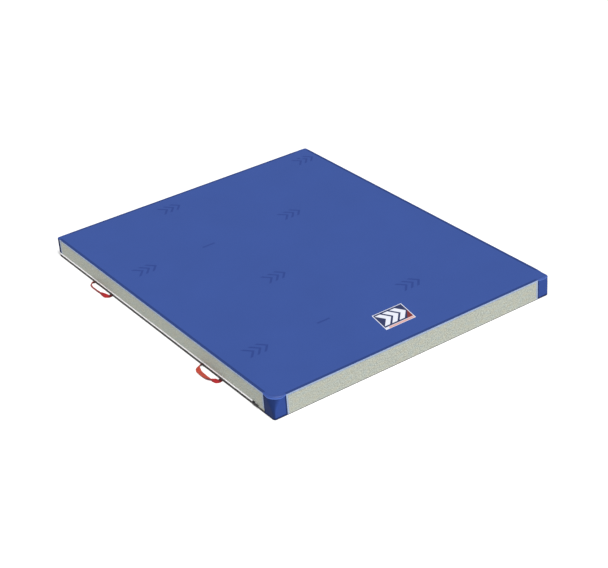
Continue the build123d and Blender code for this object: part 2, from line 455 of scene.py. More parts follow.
def bumped(tree, bsdf, *layers):
    """Stacks bump layers, each (height, strength, distance), on the shader's normal."""
    normal = None
    for height, strength, distance in layers:
        inputs = {"Height": height, "Strength": strength, "Distance": distance}
        if normal is not None:
            inputs["Normal"] = normal
        normal = add(tree, "ShaderNodeBump", inputs).outputs["Normal"]
    tree.links.new(normal, bsdf.inputs["Normal"])


def scaled(colour, factor):
    return tuple(c * factor for c in colour)


def vinyl(name, colour, shine=0.35, painted_side_shade=1.0):
    """Coated cover fabric: fine leather grain over a faint weave, dulled in soft patches.

    Where it faces sideways, along X, its colour is multiplied by the side factor: painted shade on the sides
    that get less light."""
    material, tree, bsdf = shader(name, 0.5, Specular_IOR_Level=shine)
    grain = cells_of(tree, place(tree), 620.0)
    weave = noise_of(tree, place(tree), 1400.0, 1.0)
    patches = noise_of(tree, place(tree), 5.0, 4.0)
    specks = noise_of(tree, place(tree), 160.0, 3.0)
    tone = ramp(tree, patches, (0.3, scaled(colour, 0.98)), (0.7, scaled(colour, 1.02)))
    # painted shade: darker where the surface faces along X
    if painted_side_shade < 1.0:
        facing = maths(tree, "ABSOLUTE", axis_of(tree, place(tree, source="Normal"), "X"))
        tone = multiplied(tree, tone, ramp(tree, facing, (0.22, 1.0), (0.64, painted_side_shade)))
    painted(tree, bsdf, multiplied(tree, tone, ramp(tree, specks, (0.35, 0.965), (0.65, 1.0))))
    roughened(tree, bsdf, patches, 0.46, 0.56)
    bumped(tree, bsdf, (grain, 0.25, 0.2 * MM), (weave, 0.15, 0.1 * MM), (specks, 0.12, 0.6 * MM))
    return material


def wall_coordinates(tree, along, up):
    """(x + y, z) on any side wall, so a pattern runs level along all four, at so many repeats a metre."""
    own = place(tree)
    level = maths(tree, "ADD", axis_of(tree, own, "X"), axis_of(tree, own, "Y"))
    flat = add(tree, "ShaderNodeCombineXYZ", {"X": level, "Y": axis_of(tree, own, "Z"), "Z": 0.0})
    inputs = {"Vector": flat.outputs["Vector"], "Scale": (along, up, 1)}
    return add(tree, "ShaderNodeMapping", inputs).outputs["Vector"]


def mesh_cloth(name, colour):
    """Knitted breathable mesh: rows of small open holes in pale yarn, blotched by the foam behind."""
    material, tree, bsdf = shader(name, 0.85, Specular_IOR_Level=0.25, Sheen_Weight=0.1)
    cells = cells_of(tree, wall_coordinates(tree, 300, 420), 1.0, 0.22)
    yarn = noise_of(tree, wall_coordinates(tree, 900, 240), 1.0, 2.0)
    blotches = noise_of(tree, wall_coordinates(tree, 30, 60), 1.0, 3.0)
    specks = noise_of(tree, wall_coordinates(tree, 150, 180), 1.0, 2.0)
    puckers = noise_of(tree, wall_coordinates(tree, 75, 130), 1.0, 2.0)
    warm = tuple(c * f for c, f in zip(colour, (1.03, 1.0, 0.93)))
    cool = tuple(c * f for c, f in zip(colour, (0.93, 0.99, 1.03)))
    tone = ramp(tree, blotches, (0.32, cool), (0.68, warm))
    tone = multiplied(tree, tone, ramp(tree, specks, (0.3, 0.72), (0.62, 1.08)))
    holes = ramp(tree, cells, (0.16, (0.42, 0.43, 0.40)), (0.34, 1.0))
    painted(tree, bsdf, blend_colours(tree, 0.85, tone, holes, "MULTIPLY"))
    bumped(tree, bsdf, (puckers, 0.45, 6 * MM), (cells, 0.7, 0.8 * MM), (yarn, 0.3, 0.3 * MM))
    return material


def woven(name, colour, rib, sheen=0.3, contrast=0.25, source="UV", stripes=None, underside=None,
          shaded_ends=None):
    """Narrow woven tape or webbing: ribs along it and across it. Its UV is in metres, along and across.

    On the underside the UV is a metre further across, which gives it a darker copy of its colour: painted
    shade
    for the face turned away from the light. Given an end length, it is darkened over that distance from
    either end:
    painted shade where the ends meet the mat's wall. Stripes are (from the middle, half width, colour)."""
    material, tree, bsdf = shader(name, 0.8, Specular_IOR_Level=0.3, Sheen_Weight=sheen)
    coordinates = place(tree, source=source)
    ribs = bands_of(tree, coordinates, 1 / rib / 3.2, 0.6, "X")
    warp = bands_of(tree, coordinates, 1 / rib / 2.4, 0.4, "Y")
    soil = noise_of(tree, place(tree), 45.0, 4.0)
    weave = maths(tree, "MULTIPLY", ribs, warp)
    tone = ramp(tree, weave, (0.0, scaled(colour, 1 - contrast)), (0.6, colour))
    # painted shade: the underside takes a darker copy of the colour
    if underside is not None:
        turned = ramp(tree, weave, (0.0, scaled(underside, 1 - contrast)), (0.6, underside))
        below = maths(tree, "GREATER_THAN", axis_of(tree, coordinates, "Y"), 0.5)
        tone = blend_colours(tree, below, tone, turned)
    base = multiplied(tree, tone, ramp(tree, soil, (0.3, 0.86), (0.7, 1.0)))
    if stripes is not None:
        from_middle, half, stripe_colour = stripes
        across = maths(tree, "ABSOLUTE", axis_of(tree, coordinates, "Y"))
        distance = maths(tree, "ABSOLUTE", maths(tree, "SUBTRACT", across, from_middle))
        base = blend_colours(tree, maths(tree, "LESS_THAN", distance, half), base, stripe_colour)
    # painted shade: darker towards either end, where the loop meets the wall
    if shaded_ends is not None:
        reach = maths(tree, "DIVIDE", axis_of(tree, coordinates, "X"), 2 * shaded_ends)
        base = multiplied(tree, base, ramp(tree, reach, (0.2, (0.16, 0.20, 0.24)), (0.5, 1.0)))
    painted(tree, bsdf, base)
    bumped(tree, bsdf, (weave, 0.6, 0.5 * MM))
    return material


def rubberised(name, colour):
    """Anti-slip base fabric: a grid of raised dots on matt black."""
    material, tree, bsdf = shader(name, 0.8, Specular_IOR_Level=0.3)
    dots = cells_of(tree, place(tree), 260.0, 0.0)
    raised = ramp(tree, dots, (0.25, 1.0), (0.4, 0.0))
    dust = noise_of(tree, place(tree), 22.0, 5.0)
    painted(tree, bsdf, ramp(tree, dust, (0.35, colour), (0.75, scaled(colour, 1.9))))
    roughened(tree, bsdf, dust, 0.7, 0.92)
    bumped(tree, bsdf, (raised, 0.5, 0.4 * MM))
    return material


def moulded(name, colour, roughness=0.4):
    """Moulded or drawn plastic with faint flow marks."""
    material, tree, bsdf = shader(name, roughness, Specular_IOR_Level=0.5)
    flow = noise_of(tree, place(tree, (1, 1, 4)), 300.0, 3.0)
    painted(tree, bsdf, ramp(tree, flow, (0.3, scaled(colour, 0.93)), (0.7, colour)))
    bumped(tree, bsdf, (flow, 0.15, 0.2 * MM))
    return material


def painted_metal(name, colour):
    """Black enamel on die-cast metal, rubbed thin in small scuffs."""
    material, tree, bsdf = shader(name, 0.55, Specular_IOR_Level=0.2)
    scuffs = noise_of(tree, place(tree), 900.0, 5.0)
    painted(tree, bsdf, ramp(tree, scuffs, (0.60, colour), (0.74, (0.09, 0.09, 0.10))))
    roughened(tree, bsdf, scuffs, 0.45, 0.65)
    bumped(tree, bsdf, (scuffs, 0.2, 0.2 * MM))
    return material


def foam(name, colour):
    """Open foam: rounded pores of mixed size."""
    material, tree, bsdf = shader(name, 0.95, Specular_IOR_Level=0.1)
    pores = cells_of(tree, place(tree), 420.0)
    large = noise_of(tree, place(tree), 60.0, 4.0)
    tone = ramp(tree, pores, (0.1, scaled(colour, 0.55)), (0.5, colour))
    painted(tree, bsdf, multiplied(tree, tone, ramp(tree, large, (0.3, 0.88), (0.7, 1.0))))
    bumped(tree, bsdf, (pores, 0.8, 1 * MM))
    return material


BLUE = (0.033, 0.074, 0.284)
MAT_BLUE = vinyl("blue_vinyl", BLUE)
# The hem: the top's vinyl painted darker, as shade along the top's edges.
HEM_BLUE_SHADED = vinyl("hem_blue_shaded", scaled(BLUE, 0.66), 0.2)
# The corner patches' vinyl is painted darker on its faces along X, as shade.
PATCH_BLUE = vinyl("patch_blue", (0.030, 0.067, 0.266), 0.04, painted_side_shade=0.45)
# The back corner patches: the patch vinyl painted darker, as shade.
PATCH_FAR_SHADED = vinyl("patch_far_shaded", (0.018, 0.042, 0.170), 0.02, painted_side_shade=0.45)
# The corner patches' folded edges: the patch vinyl painted dark, as shade along the edges.
PATCH_EDGE_SHADED = vinyl("patch_edge_shaded", (0.013, 0.029, 0.125), 0.04, painted_side_shade=0.60)
# The front corners' piping: the top's vinyl painted lighter, as a highlight along the rounded rim.
PIPING_BLUE_LIT = vinyl("piping_blue_lit", (0.062, 0.128, 0.440), 0.2)
PRINT_BLUE = vinyl("print_blue", (0.021, 0.051, 0.229))
GREY_MESH = mesh_cloth("grey_mesh", (0.460, 0.475, 0.420))
PALE_BINDING = woven("pale_binding", (0.36, 0.46, 0.65), rib=0.9 * MM, source="Object")
BLACK_BASE = rubberised("black_base", (0.040, 0.038, 0.037))
ZIP_TAPE = woven("zip_tape", (0.95, 0.94, 0.95), rib=0.8 * MM, contrast=0.08, source="Object")
ZIP_COIL = moulded("zip_coil", (0.97, 0.96, 0.965))
ZIP_METAL = painted_metal("zip_metal", (0.012, 0.012, 0.014))
RED_WEBBING = woven(
    "red_webbing", (0.56, 0.058, 0.030), rib=1.6 * MM, sheen=0.1, contrast=0.35,
    # the underside red is painted shade, a darker copy of the top red
    stripes=(WEBBING / 2 - 3.2 * MM, 0.45 * MM, (0.66, 0.13, 0.07)), underside=(0.44, 0.012, 0.016),
    # painted shade at the loop's ends, where they meet the wall
    shaded_ends=24 * MM,
)
BLACK_WEBBING = woven("black_webbing", (0.018, 0.016, 0.016), rib=1.2 * MM, source="Object")
THREAD_BLUE = moulded("thread_blue", (0.02, 0.035, 0.16), 0.6)
THREAD_BLACK = moulded("thread_black", (0.05, 0.045, 0.045), 0.6)
THREAD_PALE = moulded("thread_pale", (0.55, 0.56, 0.54), 0.6)
SOFT_FOAM = foam("soft_foam", (0.74, 0.70, 0.56))
FIRM_FOAM = foam("firm_foam", (0.33, 0.35, 0.38))
BADGE_NAVY = moulded("badge_navy", (0.026, 0.036, 0.110), 0.35)
BADGE_WHITE = moulded("badge_white", (0.74, 0.76, 0.84), 0.35)
BADGE_RED = moulded("badge_red", (0.20, 0.028, 0.03), 0.35)
BADGE_PINK = moulded("badge_pink", (0.66, 0.36, 0.33), 0.35)


# ---- Cover ----

EDGE_ROUND = 1.1 * MM         # the top sheet's edge turns over this radius above the mesh panels
# Near a corner it turns over a larger one: (full within this distance, gone beyond this one, radius).
FRONT_ROLL = (44 * MM, 68 * MM, 6.5 * MM)
BACK_ROLL = (6 * MM, 27 * MM, 2.5 * MM)
SET_DOWN = 0.4 * MM           # the top's edge lies this far below the CAD's top
CROWN = 1.4 * MM              # the top's swell over the foam
WAVES = 0.5 * MM
PUCKERS = 0.22 * MM
SEAM_DIP = 0.3 * MM
HEM_LIFT = 0.35 * MM
PANEL_SET_IN = 0.25 * MM
PANEL_THICK = 0.8 * MM
PANEL_BELLY = 0.9 * MM        # how far a mesh panel bulges out, and how much that varies
PANEL_SLACK = 0.5 * MM
PANEL_FOLDS = 0.45 * MM
PATCH_BELLY = 0.6 * MM
PATCH_RIPPLES = 0.15 * MM
HEM = 15 * MM                 # width of the sewn hem round the top
PIPING = 5.0 * MM             # height of the piping in a corner patch's top seam
PIPING_PROUD = 1.3 * MM
PATCH_HEM = 7.0 * MM          # width of the folded edge round a corner patch
FINE_LINES = [d * MM for d in (0, 0.25, 0.7, 1.5, 2.8, 4.6, 6.8, 9, 11.5, 16, 22, 30, 40, 55)]


def edge_round(x, y):
    """The radius that the top's edge rolls over, near a point of it."""
    from_corner = max(HALF_X - abs(x), HALF_Y - abs(y))
    near, far, roll = FRONT_ROLL if y < 0 else BACK_ROLL
    return roll + (EDGE_ROUND - roll) * smooth_step(from_corner, near, far)


def top_height(x, y):
    """Height of the taut top: almost flat, drawn down a little by the hem's seam."""
    inset = max(edge_distance(x, y), 0.0)
    crown = CROWN * min(1.0, inset / 0.45) ** 0.6
    waves = WAVES * ripple(x, y, 0.0, 0.35) * min(1.0, inset / 0.1)
    puckers = PUCKERS * ripple(x, y, 3.0, 0.045) * math.exp(-inset / 0.05) * min(1.0, inset / (6 * MM))
    seam = -SEAM_DIP * math.exp(-((inset - HEM) / (1.6 * MM)) ** 2)
    drop = 0.0
    roll = edge_round(x, y)
    if inset < roll:
        drop = roll - math.sqrt(max(roll ** 2 - (roll - inset) ** 2, 0.0))
    return TOP - SET_DOWN + crown + waves + puckers + seam - drop


def top_point(s, inset=0.0, lift=0.0):
    """The point of the top at a distance along the wall and in from it, lifted a little."""
    x, y, _ = wall_point(s, -inset, TOP)
    return (x, y, top_height(x, y) + lift)


def make_top():
    """The taut top sheet."""
    grid = footprint_grid(FINE_LINES, 22 * MM)
    upper = [[(x, y, top_height(x, y)) for x, y in row] for row in grid]
    lower = [[(x, y, min(TOP - SHEET, z - 0.2 * MM)) for x, y, z in row] for row in upper]
    points, faces = closed_sheet(upper, lower)
    piece = new_object("top_cover", points, faces, MAT_BLUE, "blue_vinyl")
    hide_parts("top_sheet")


def make_hem():
    """The folded hem sewn along the top's edges, painted a little darker than the top as shade along the
    edge.
    """
    section = [(0.15 * MM, 0.10 * MM), (0.9 * MM, 0.32 * MM), (2.4 * MM, HEM_LIFT), (5.4 * MM, HEM_LIFT),
               (9.8 * MM, HEM_LIFT), (HEM - 0.5 * MM, 0.30 * MM), (HEM, -0.2 * MM)]
    parts = Parts()
    for side in SIDES:
        s0, s1, _, _ = span_of(f"side_panel_{side}", side)
        rings = []
        for s in stations(s0 - 6 * MM, s1 + 6 * MM, 20 * MM):
            ring = [top_point(s, inset, lift) for inset, lift in section]
            ring += [(x, y, z - 0.7 * MM) for x, y, z in reversed(ring)]
            rings.append(ring)
        points = [point for ring in rings for point in ring]
        parts.add(points, tube_faces(len(rings), len(rings[0])))
    parts.piece("top_hem", HEM_BLUE_SHADED, "blue_vinyl")


def plain_radius(x, y):
    """The same radius at every corner, as at the mat's foot."""
    return CORNER_RADIUS


def foam_radius(x, y):
    """The foam's corners are cut rounder than the cover's."""
    return top_radius(x, y) + 8 * MM


def lip_profile(height):
    """A turned-up edge of cloth, as (height, out) with rounded corners."""
    r = 0.45 * MM
    return [
        (0.0, -CLOTH), (0.0, -r), (r * 0.3, -r * 0.3), (r, 0.0),
        (height - r, 0.0), (height - r * 0.3, -r * 0.3), (height, -r), (height, -CLOTH),
    ]


def make_base():
    """The black base: a flat sheet, its turned-up lip all round, and the strip under the zip."""
    parts = Parts()
    grid = footprint_grid([d * MM for d in (0, 4, 8, 12, 30, 60)], 60 * MM, -0.3 * MM, plain_radius)
    upper = [[(x, y, SHEET) for x, y in row] for row in grid]
    lower = [[(x, y, 0.0) for x, y in row] for row in grid]
    parts.add(*closed_sheet(upper, lower))
    lip = lip_profile(LIP_TOP)
    parts.add(*wall_ribbon([(0.0, 0.0), (ROUND_TRIP, 0.0)], lip, 60 * MM, closed=True))
    start, end = zip_run()
    strip = [(height + LIP_TOP, out) for height, out in lip_profile(STRIP_TOP - LIP_TOP)]
    parts.add(*wall_ribbon([(start, 0.0), (end, 0.0)], strip, 60 * MM))
    piece = parts.piece("base_cover", BLACK_BASE, "black_base")
    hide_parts("base_sheet")


def zip_run():
    """Where the zip's strip starts and ends along the wall."""
    return span_of("panel_binding_left", "left")[0], span_of("panel_binding_back", "back")[1]


def make_panel(side):
    """A mesh wall, bulged a little by the foam and puckered along its seams."""
    node = f"side_panel_{side}"
    s0, s1, z0, z1 = span_of(node, side)
    z1 += 1.0 * MM
    places = stations(s0 - 1.0 * MM, s1 + 1.0 * MM, 16 * MM)
    heights = np.linspace(z0, z1, 13)
    outer, inner = [], []
    for z in heights:
        up = (z - z0) / (z1 - z0)
        row_out, row_in = [], []
        for s in places:
            ends = min(1.0, (s - s0 + 1.5 * MM) / 0.05, (s1 - s + 1.5 * MM) / 0.05)
            belly = 4 * up * (1 - up) * max(ends, 0.0)
            point = wall_point(s, 0.0, z)
            folds = ripple(point[0], point[1], z * 2.5, 0.06)
            slack = ripple(point[0], point[1], 0.0, 0.4)
            out = -PANEL_SET_IN + belly * (PANEL_BELLY + PANEL_SLACK * slack + PANEL_FOLDS * folds)
            row_out.append(wall_point(s, out, z))
            row_in.append(wall_point(s, out - PANEL_THICK, z))
        outer.append(row_out)
        inner.append(row_in)
    points, faces = closed_sheet(outer, inner)
    piece = new_object(f"mesh_panel_{side}", points, faces, GREY_MESH, "grey_mesh")
    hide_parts(node)


def make_binding(side):
    """The narrow folded edging round a mesh panel: along its top and down both ends."""
    node = f"panel_binding_{side}"
    s0, s1, z0, z1 = span_of(node, side)
    half = BINDING / 2
    profile = rounded_bar(BINDING, -CLOTH, PROUD, 0.8 * MM)
    path = [(s0 + half, z0), (s0 + half, z1 - half), (s1 - half, z1 - half), (s1 - half, z0)]
    points, faces = wall_ribbon(path, profile, 40 * MM)
    piece = new_object(f"edge_binding_{side}", points, faces, PALE_BINDING, "pale_binding")
    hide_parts(node)


def make_corner(end, side):
    """A corner patch, with a folded rim along its top."""
    node = f"corner_patch_{end}_{side}"
    low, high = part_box(node)
    x_edge = high.x if side == "left" else low.x
    y_edge = high.y if end == "front" else low.y
    long_s = s_at(side, 0, y_edge)
    short_s = s_at(end, x_edge, 0)
    order = {"front_left": (short_s, long_s + ROUND_TRIP), "back_left": (long_s, short_s),
             "back_right": (short_s, long_s), "front_right": (long_s, short_s)}
    s0, s1 = order[f"{end}_{side}"]
    places = stations(s0, s1, 5 * MM, 1.5 * MM)
    outer, inner = [], []
    for up in np.linspace(0.0, 1.0, 13):
        row_out, row_in = [], []
        for s in places:
            x, y, crest = top_point(s)
            z = low.z + (crest - PIPING / 2 - low.z) * up
            ends = max(min(1.0, (s - s0) / (12 * MM), (s1 - s) / (12 * MM)), 0.0)
            belly = PATCH_BELLY * 4 * up * (1 - up) + PATCH_RIPPLES * ripple(x, y, z, 0.03)
            row_out.append(wall_point(s, -0.15 * MM + belly * ends, z))
            row_in.append(wall_point(s, -CLOTH, z))
        outer.append(row_out)
        inner.append(row_in)
    points, faces = closed_sheet(outer, inner)
    # The back patches take the darker vinyl, painted shade.
    cover, piping = (PATCH_BLUE, PIPING_BLUE_LIT) if end == "front" else (PATCH_FAR_SHADED, PATCH_BLUE)
    piece = new_object(f"corner_cover_{end}_{side}", points, faces, cover, "blue_vinyl")
    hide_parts(node)
    make_piping(f"corner_piping_{end}_{side}", places, piping)
    make_patch_hem(f"corner_hem_{end}_{side}", s0, s1, low.z)


def make_patch_hem(name, s0, s1, foot):
    """The folded edge of a corner patch, down both ends and along its foot, painted dark as the shade along
    the patch's edges.
    """
    half = PATCH_HEM / 2
    crests = [top_point(s)[2] - PIPING for s in (s0, s1)]
    left, right, low = s0 + half, s1 - half, foot + half
    path = [(left, crests[0]), (left, low), (right, low), (right, crests[1])]
    profile = rounded_bar(PATCH_HEM, -CLOTH, 0.35 * MM, 0.35 * MM)
    points, faces = wall_ribbon(path, profile, 5 * MM)
    new_object(name, points, faces, PATCH_EDGE_SHADED, "blue_vinyl")


def make_piping(name, places, material):
    """The piping sewn into the seam between a corner patch and the top; at the front corners its vinyl is
    painted lighter, as a highlight along the rim.
    """
    around = 10
    points = []
    for s in places:
        middle = top_point(s)[2] - 0.2 * MM - PIPING / 2
        for k in range(around):
            turn = 2 * math.pi * k / around
            out = PIPING_PROUD * math.cos(turn) - 0.25 * MM
            points.append(wall_point(s, out, middle + PIPING / 2 * math.sin(turn)))
    new_object(name, points, tube_faces(len(places), around), material, "blue_vinyl")


def make_foam(name, node, material, slot):
    """A foam slab with softened edges."""
    low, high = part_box(node)
    inset = HALF_X - high.x
    fine = [d * MM for d in (0, 2, 6, 14, 24, 35, 46, 80)]
    grid = footprint_grid(fine, 70 * MM, -inset, foam_radius)
    edge = 5 * MM

    def height(x, y, top):
        distance = max(edge_distance(x, y, foam_radius) - inset, 0.0)
        ease = edge - math.sqrt(max(edge ** 2 - max(edge - distance, 0.0) ** 2, 0.0))
        return high.z - ease * 0.6 if top else low.z + ease * 0.6

    upper = [[(x, y, height(x, y, True)) for x, y in row] for row in grid]
    lower = [[(x, y, height(x, y, False)) for x, y in row] for row in grid]
    points, faces = closed_sheet(upper, lower)
    piece = new_object(name, points, faces, material, slot)
    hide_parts(node)


# ---- Stitches ----

def stitch(parts, start, end, up, width, height):
    """One stitch: a low rounded bar of thread from start to end, lying on a surface facing up."""
    a, b, up = Vector(start), Vector(end), Vector(up)
    along = (b - a).normalized()
    side = along.cross(up).normalized() * (width / 2)
    tip = along * (width * 0.35)
    sink = up * (height * 0.6)
    crest = up * height
    points = [a - tip - sink, a + side - sink, a - side - sink, a + crest * 0.8,
              b + tip - sink, b + side - sink, b - side - sink, b + crest * 0.8]
    faces = [(0, 3, 1), (0, 2, 3), (1, 3, 7, 5), (3, 2, 6, 7), (5, 7, 4), (7, 6, 4), (2, 0, 1, 5, 4, 6)]
    parts.add([tuple(p) for p in points], faces)


def make_top_stitches():
    """Two rows of stitches that hold the hem round the top."""
    parts = Parts()
    pitch, length = 6.0 * MM, 4.2 * MM
    for inset in (HEM - 1.8 * MM, HEM - 8.5 * MM):
        count = int(ROUND_TRIP / pitch)
        for i in range(count):
            s = ROUND_TRIP * i / count
            a, b = (top_point(t, inset, HEM_LIFT) for t in (s, s + length))
            stitch(parts, a, b, (0, 0, 1), 0.8 * MM, 0.35 * MM)
    parts.piece("hem_stitches", THREAD_BLUE, "blue_vinyl")


def make_wall_stitches():
    """Stitches along the strip above the zip and along the lip below the plain panels."""
    parts = Parts()
    pitch, length = 8.0 * MM, 5.0 * MM
    for side, rise in (("left", 2.4 * MM), ("back", 2.4 * MM), ("right", 3.2 * MM), ("front", 3.2 * MM)):
        s0, s1, foot, _ = span_of(f"side_panel_{side}", side)
        z = foot + rise
        count = int((s1 - s0) / pitch)
        for i in range(count):
            s = s0 + (s1 - s0) * i / count
            a, b = wall_point(s, 0.1 * MM, z), wall_point(s + length, 0.1 * MM, z)
            facing = Vector(wall_point(s, 1.0, z)) - Vector(wall_point(s, 0.0, z))
            stitch(parts, a, b, facing, 0.7 * MM, 0.4 * MM)
    parts.piece("panel_stitches", THREAD_PALE, "grey_mesh")


# ---- Zip ----

TOOTH_PITCH = 2.6 * MM
TEETH_CORD = 0.8 * MM         # width of the cord that the teeth stand on


def make_tape(name, node, sign):
    """One woven zip tape, sewn behind the cover's edge."""
    low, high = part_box(node)
    start, end = zip_run()
    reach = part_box("zip_coil_lower")[0].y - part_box("panel_binding_left")[0].y
    near = ZIP_MIDDLE + sign * 1.0 * MM
    far = high.z if sign > 0 else low.z
    middle, width = (near + far) / 2, abs(far - near)
    shown = (STRIP_TOP, SLOT_TOP)[sign > 0] - middle
    free = near - middle
    face = [(free, -1.8), (free, -0.1), (shown * 0.8 + free * 0.2, -0.1), (shown, -0.9),
            (far - middle, -1.05), (far - middle, -1.8)]
    profile = [(a, out * MM) for a, out in (face if sign < 0 else reversed(face))]
    points, faces = wall_ribbon([(start + reach, middle), (end - reach, middle)], profile, 40 * MM)
    piece = new_object(name, points, faces, ZIP_TAPE, "zip_tape")
    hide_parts(node)


def tooth_sections(sign):
    """(height from the zip's middle, half width, low out, high out) along one tooth, root to head."""
    return [
        (sign * 3.3 * MM, 0.62 * MM, -1.0 * MM, 0.05 * MM),
        (sign * 2.9 * MM, 0.72 * MM, -1.0 * MM, 0.45 * MM),
        (sign * 0.9 * MM, 0.62 * MM, -0.9 * MM, 0.58 * MM),
        (sign * 0.2 * MM, 1.05 * MM, -0.9 * MM, 0.60 * MM),
        (-sign * 0.55 * MM, 0.95 * MM, -0.8 * MM, 0.45 * MM),
    ]


def make_teeth(name, node, sign):
    """One row of interlocking coil turns along the whole zip."""
    parts = Parts()
    start, end = zip_run()
    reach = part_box(node)[0].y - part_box("panel_binding_left")[0].y
    start, end = start + reach, end - reach
    offset = TOOTH_PITCH / 2 if sign > 0 else 0.0
    count = int((end - start - TOOTH_PITCH) / TOOTH_PITCH)
    sections = tooth_sections(sign)
    for i in range(count):
        s = start + TOOTH_PITCH / 2 + offset + i * TOOTH_PITCH
        points = []
        for dz, half, low, high in sections:
            z = ZIP_MIDDLE + dz
            section = ((-half, low), (half, low), (half * 0.8, high), (-half * 0.8, high))
            points.extend(wall_point(s + across, out, z) for across, out in section)
        faces = tube_faces(len(sections), len(section))
        if sign < 0:
            faces = [tuple(reversed(f)) for f in faces]
        parts.add(points, faces)
    cord = ZIP_MIDDLE + sign * 3.2 * MM
    profile = rounded_bar(TEETH_CORD, -1.0 * MM, -0.3 * MM, 0.3 * MM, 2)
    parts.add(*wall_ribbon([(start, cord), (end, cord)], profile))
    piece = parts.piece(name, ZIP_COIL, "zip_coil", smooth_angle=50.0)
    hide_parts(node)


def make_zip_covers():
    """The patches sewn over the zip's two ends."""
    for end, side in (("front", "left"), ("back", "back")):
        node = f"zip_end_cover_{end}"
        s0, s1, z0, z1 = span_of(node, side)
        width = z1 - z0
        middle = (z0 + z1) / 2
        profile = rounded_bar(width, -CLOTH, 0.2 * MM, 0.5 * MM)
        points, faces = wall_ribbon([(s0, middle), (s1, middle)], profile, 6 * MM)
        piece = new_object(f"zip_cover_{end}", points, faces, GREY_MESH, "grey_mesh")
        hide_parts(node)


# ---- Carrying loops ----

# The middle line of each loop from its back end to its front end: millimetres out of the wall, and
# along the wall from the loop's middle. They lie as they fell, no two alike.
LOOP_ROUTES = {
    "handle_left_front": [(0, 78), (14, 78), (29, 70), (39, 52), (43, 26), (44, -4), (43, -30),
                          (42, -54), (34, -75), (18, -86), (0, -81)],
    "handle_left_back": [(0, 82), (13, 85), (27, 80), (36, 62), (39, 32), (39, 2), (38, -26),
                         (37, -50), (30, -74), (15, -87), (0, -84)],
    "handle_right_front": [(0, 80), (16, 83), (33, 72), (42, 50), (44, 20), (43, -12), (38, -44),
                           (29, -68), (14, -79), (0, -78)],
    "handle_right_back": [(0, 76), (15, 77), (31, 70), (41, 48), (45, 16), (43, -20), (39, -48),
                          (31, -70), (15, -82), (0, -80)],
}
# How the band leans along each loop: degrees that its outer edge is raised. Past 90 it has turned
# over, so each loop lies with a half twist.
LOOP_LEANS = {
    "handle_left_front": [(0, -50), (0.10, -46), (0.20, -22), (0.30, 6), (0.52, 12), (0.64, 20), (0.72, 50),
                          (0.80, 114), (0.88, 160), (1, 196)],
    "handle_left_back": [(0, 128), (0.12, 124), (0.23, 98), (0.34, 76), (0.55, 74), (0.66, 86),
                         (0.76, 124), (0.86, 164), (1, 198)],
    "handle_right_front": [(0, -34), (0.15, -12), (0.35, 8), (0.52, 24), (0.66, 90), (0.80, 150), (1, 190)],
    "handle_right_back": [(0, -40), (0.15, -16), (0.40, 12), (0.55, 40), (0.68, 110), (0.82, 158), (1, 192)],
}
LOOP_STEPS = 72
LOOP_LIFT = 0.5 * MM          # a loop lies this far above the floor
CURL = 0.42                   # share of its width that the band loses where it stands on edge


def eased(where, stops):
    """A smooth value between the given stops."""
    for (a, low), (b, high) in zip(stops, stops[1:]):
        if where <= b:
            return low + (high - low) * smooth_step(where, a, b)
    return stops[-1][1]


def loop_path(node, sign):
    """The middle line of a loop lying on the floor, smooth through its route's points."""
    low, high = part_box(node)
    middle = (low.y + high.y) / 2
    face = HALF_X - 0.9 * MM
    stops = [Vector((sign * (face + out * MM), middle + along * MM, 0.0)) for out, along in LOOP_ROUTES[node]]
    stops = [stops[0] * 2 - stops[1]] + stops + [stops[-1] * 2 - stops[-2]]
    places = []
    for before, start, end, after in zip(stops, stops[1:], stops[2:], stops[3:]):
        for k in range(16):
            t = k / 16
            bend = (before * 2 - start * 5 + end * 4 - after) * t * t
            bend += (start * 3 - before - end * 3 + after) * t ** 3
            places.append((start * 2 + (end - before) * t + bend) / 2)
    return even_steps(places + [stops[-2]], LOOP_STEPS)


def even_steps(places, count):
    """The same line with points at equal distances."""
    lengths = [0.0]
    for a, b in zip(places, places[1:]):
        lengths.append(lengths[-1] + (b - a).length)
    result = []
    for i in range(count + 1):
        want = lengths[-1] * i / count
        k = max(j for j in range(len(lengths) - 1) if lengths[j] <= want + 1e-12)
        share = (want - lengths[k]) / (lengths[k + 1] - lengths[k])
        result.append(places[k].lerp(places[k + 1], min(share, 1.0)))
    return result


def make_loop(node):
    """A webbing loop with its lean and half twist, resting on the floor."""
    sign = -1 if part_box(node)[1].x < 0 else 1
    line = loop_path(node, sign)
    count = len(line)
    leans = [math.radians(eased(i / (count - 1), LOOP_LEANS[node])) for i in range(count)]
    rest = LOOP_LIFT + WEBBING_THICK / 2
    spread = [1 - CURL * math.sin(lean) ** 2 for lean in leans]
    for point, lean, wide in zip(line, leans, spread):
        point.z = rest + (WEBBING / 2 - WEBBING_THICK / 2) * wide * abs(math.sin(lean))
    profile = webbing_profile()
    up = Vector((0, 0, 1))
    points = []
    along = [0.0]
    for i, (spot, lean) in enumerate(zip(line, leans)):
        before, after = line[max(i - 1, 0)], line[min(i + 1, count - 1)]
        heading = (after - before).normalized()
        outward = up.cross(heading).normalized() * sign
        across = outward * math.cos(lean) + up * math.sin(lean)
        across = (across - heading * across.dot(heading)).normalized()
        thick = across.cross(heading).normalized()
        points.extend(tuple(spot + across * a * spread[i] + thick * t) for a, t in profile)
        if i:
            along.append(along[-1] + (spot - line[i - 1]).length)
    faces = tube_faces(count, len(profile))
    name = node.replace("handle", "carry_loop")
    piece = new_object(name, points, faces, RED_WEBBING, "red_webbing", body=node)
    paint_band(piece, along, profile)
    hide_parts(node)
    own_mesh(piece)


